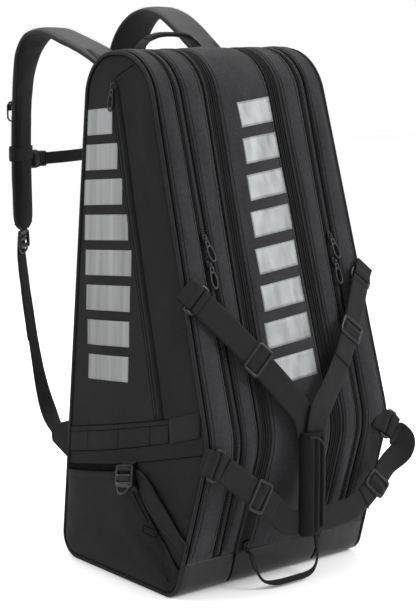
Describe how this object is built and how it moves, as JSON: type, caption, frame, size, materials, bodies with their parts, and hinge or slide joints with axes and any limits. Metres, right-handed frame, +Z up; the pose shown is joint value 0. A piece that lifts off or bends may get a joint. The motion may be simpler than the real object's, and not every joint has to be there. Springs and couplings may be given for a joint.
{
  "type": "racket tournament bag",
  "caption": "Tall backpack-style racket bag with front zips, crossed webbing carry grip, side shoe pockets and a padded shoulder harness.",
  "frame": {"origin": "centre of the flat face that the bag stands on", "axes": "+Z up along the length of the bag, -Y out of the front with the zips and carry grip, +Y out of the back with the shoulder harness"},
  "size_m": [0.4067, 0.64, 0.843],
  "materials": {
    "body_fabric": "woven polyester, matt",
    "side_fabric": "woven polyester, matt",
    "tarpaulin": "coated tarpaulin, satin",
    "piping": "woven tape over cord",
    "zip_tape": "nylon coil zip",
    "lining": "plain woven lining",
    "webbing": "ribbed polyester webbing",
    "grip_padding": "padded wrap",
    "pad_fabric": "smooth outer cloth with mesh inner",
    "hardware": "moulded acetal, satin",
    "slider_metal": "black painted zinc"
  },
  "bodies": {
    "shell": {"base_panel": "tarpaulin", "back_panel": "side_fabric", "centre_lid": "body_fabric", "left_outer_gusset": "body_fabric", "left_main_zip": "zip_tape", "left_inner_gusset": "body_fabric", "left_lid_zip": "zip_tape", "left_side_panel": "side_fabric", "left_divider": "lining", "left_piping": "piping", "left_shoe_pocket": "side_fabric", "left_pocket_zip": "zip_tape", "left_lower_webbing": "webbing", "right_outer_gusset": "body_fabric", "right_main_zip": "zip_tape", "right_inner_gusset": "body_fabric", "right_lid_zip": "zip_tape", "right_side_panel": "side_fabric", "right_divider": "lining", "right_piping": "piping", "right_shoe_pocket": "side_fabric", "right_pocket_zip": "zip_tape", "right_lower_webbing": "webbing"},
    "carry_grip": {"carry_grip": "grip_padding"},
    "upper_left_arm": {"upper_left_ring": "hardware", "upper_left_webbing": "webbing", "upper_left_adjuster": "hardware"},
    "upper_right_arm": {"upper_right_ring": "hardware", "upper_right_webbing": "webbing", "upper_right_adjuster": "hardware"},
    "lower_left_arm": {"lower_left_ring": "hardware", "lower_left_webbing": "webbing", "lower_left_adjuster": "hardware"},
    "lower_right_arm": {"lower_right_ring": "hardware", "lower_right_webbing": "webbing", "lower_right_adjuster": "hardware"},
    "harness": {"left_shoulder_pad": "pad_fabric", "right_shoulder_pad": "pad_fabric", "chest_buckle_socket": "hardware"},
    "chest_strap": {"chest_webbing": "webbing", "chest_buckle_plug": "hardware"},
    "left_ladder_lock": {"left_ladder_lock": "hardware"},
    "left_pocket_lock": {"left_pocket_lock": "hardware"},
    "right_ladder_lock": {"right_ladder_lock": "hardware"},
    "right_pocket_lock": {"right_pocket_lock": "hardware"},
    "haul_handle": {"haul_handle": "webbing"},
    "left_upper_slider": {"left_upper_slider": "slider_metal"},
    "left_upper_pull": {"left_upper_pull": "slider_metal"},
    "left_lower_slider": {"left_lower_slider": "slider_metal"},
    "left_lower_pull": {"left_lower_pull": "slider_metal"},
    "right_upper_slider": {"right_upper_slider": "slider_metal"},
    "right_upper_pull": {"right_upper_pull": "slider_metal"},
    "right_lower_slider": {"right_lower_slider": "slider_metal"},
    "right_lower_pull": {"right_lower_pull": "slider_metal"},
    "left_pocket_slider": {"left_pocket_slider": "slider_metal"},
    "left_pocket_pull": {"left_pocket_pull": "slider_metal"},
    "right_pocket_slider": {"right_pocket_slider": "slider_metal"},
    "right_pocket_pull": {"right_pocket_pull": "slider_metal"},
    "lid_puller": {"lid_puller": "webbing"}
  },
  "joints": [
    {"name": "grip_lift", "type": "slide", "parent": "shell", "child": "carry_grip", "axis": [0, -1, 0], "range_m": [0, 0.02]},
    {"name": "upper_left_arm_swing", "type": "hinge", "parent": "shell", "child": "upper_left_arm", "pos_m": [-0.16328, -0.1486, 0.44452], "axis": [-0.7838, 0, -0.621], "range_deg": [0, 5]},
    {"name": "upper_right_arm_swing", "type": "hinge", "parent": "shell", "child": "upper_right_arm", "pos_m": [0.16224, -0.149, 0.44548], "axis": [-0.7873, 0, 0.6166], "range_deg": [0, 5]},
    {"name": "lower_left_arm_swing", "type": "hinge", "parent": "shell", "child": "lower_left_arm", "pos_m": [-0.17508, -0.20559, 0.2177], "axis": [-0.6018, 0, -0.7986], "range_deg": [0, 6.8]},
    {"name": "lower_right_arm_swing", "type": "hinge", "parent": "shell", "child": "lower_right_arm", "pos_m": [0.16386, -0.2031, 0.22821], "axis": [-0.663, 0, 0.7486], "range_deg": [0, 6.8]},
    {"name": "harness_swing", "type": "hinge", "parent": "shell", "child": "harness", "pos_m": [0, 0.108, 0.742], "axis": [1, 0, 0], "range_deg": [-28, 0], "deforming": ["left_lower_webbing", "right_lower_webbing"]},
    {"name": "chest_buckle_release", "type": "slide", "parent": "harness", "child": "chest_strap", "axis": [1, 0, 0], "range_m": [0, 0.014]},
    {"name": "left_ladder_lock_tilt", "type": "hinge", "parent": "harness", "child": "left_ladder_lock", "pos_m": [-0.1005, 0.378, 0.481], "axis": [0.8645, 0.5026, 0], "range_deg": [0, 35]},
    {"name": "right_ladder_lock_tilt", "type": "hinge", "parent": "harness", "child": "right_ladder_lock", "pos_m": [0.1005, 0.378, 0.481], "axis": [0.8645, -0.5026, 0], "range_deg": [0, 35]},
    {"name": "haul_handle_fold", "type": "hinge", "parent": "shell", "child": "haul_handle", "pos_m": [0, 0.114, 0.74], "axis": [1, 0, 0], "range_deg": [-75, 0]},
    {"name": "left_pocket_lock_tilt", "type": "hinge", "parent": "shell", "child": "left_pocket_lock", "pos_m": [-0.19162, -0.0126, 0.1792], "axis": [0, 0.9787, -0.2055], "range_deg": [0, 40]},
    {"name": "right_pocket_lock_tilt", "type": "hinge", "parent": "shell", "child": "right_pocket_lock", "pos_m": [0.19162, -0.0126, 0.1792], "axis": [0, -0.9787, 0.2055], "range_deg": [0, 40]},
    {"name": "left_upper_slide", "type": "slide", "parent": "shell", "child": "left_upper_slider", "axis": [0, 0.2741, 0.9617], "range_m": [0, 0.19]},
    {"name": "left_upper_pull_lift", "type": "hinge", "parent": "left_upper_slider", "child": "left_upper_pull", "pos_m": [-0.119, -0.1248, 0.5144], "axis": [-1, 0, 0], "range_deg": [0, 95]},
    {"name": "left_lower_slide", "type": "slide", "parent": "shell", "child": "left_lower_slider", "axis": [0, -0.2741, -0.9617], "range_m": [0, 0.03]},
    {"name": "left_lower_pull_lift", "type": "hinge", "parent": "left_lower_slider", "child": "left_lower_pull", "pos_m": [-0.119, -0.13506, 0.4784], "axis": [-1, 0, 0], "range_deg": [0, 95]},
    {"name": "right_upper_slide", "type": "slide", "parent": "shell", "child": "right_upper_slider", "axis": [0, 0.2741, 0.9617], "range_m": [0, 0.2]},
    {"name": "right_upper_pull_lift", "type": "hinge", "parent": "right_upper_slider", "child": "right_upper_pull", "pos_m": [0.119, -0.12936, 0.4984], "axis": [-1, 0, 0], "range_deg": [0, 95]},
    {"name": "right_lower_slide", "type": "slide", "parent": "shell", "child": "right_lower_slider", "axis": [0, -0.2741, -0.9617], "range_m": [0, 0.03]},
    {"name": "right_lower_pull_lift", "type": "hinge", "parent": "right_lower_slider", "child": "right_lower_pull", "pos_m": [0.119, -0.13963, 0.4624], "axis": [-1, 0, 0], "range_deg": [0, 95]},
    {"name": "left_pocket_slide", "type": "slide", "parent": "shell", "child": "left_pocket_slider", "axis": [-0.0248, -0.246, -0.969], "range_m": [0, 0.42]},
    {"name": "left_pocket_pull_lift", "type": "hinge", "parent": "left_pocket_slider", "child": "left_pocket_pull", "pos_m": [-0.16936, 0.02972, 0.72316], "axis": [-0.0063, 0.9693, -0.2459], "range_deg": [0, 95]},
    {"name": "right_pocket_slide", "type": "slide", "parent": "shell", "child": "right_pocket_slider", "axis": [0.0248, -0.246, -0.969], "range_m": [0, 0.42]},
    {"name": "right_pocket_pull_lift", "type": "hinge", "parent": "right_pocket_slider", "child": "right_pocket_pull", "pos_m": [0.16936, 0.02972, 0.72316], "axis": [-0.0063, -0.9693, 0.2459], "range_deg": [0, 95]},
    {"name": "lid_puller_slide", "type": "slide", "parent": "shell", "child": "lid_puller", "axis": [0, -0.2851, 0.9585], "range_m": [0, 0.05]}
  ],
  "couplings": [
    {"joint": "upper_left_arm_swing", "follows": "grip_lift", "rad_per_m": 3.9484},
    {"joint": "upper_right_arm_swing", "follows": "grip_lift", "rad_per_m": 3.9466},
    {"joint": "lower_left_arm_swing", "follows": "grip_lift", "rad_per_m": 5.4859},
    {"joint": "lower_right_arm_swing", "follows": "grip_lift", "rad_per_m": 5.4699}
  ]
}
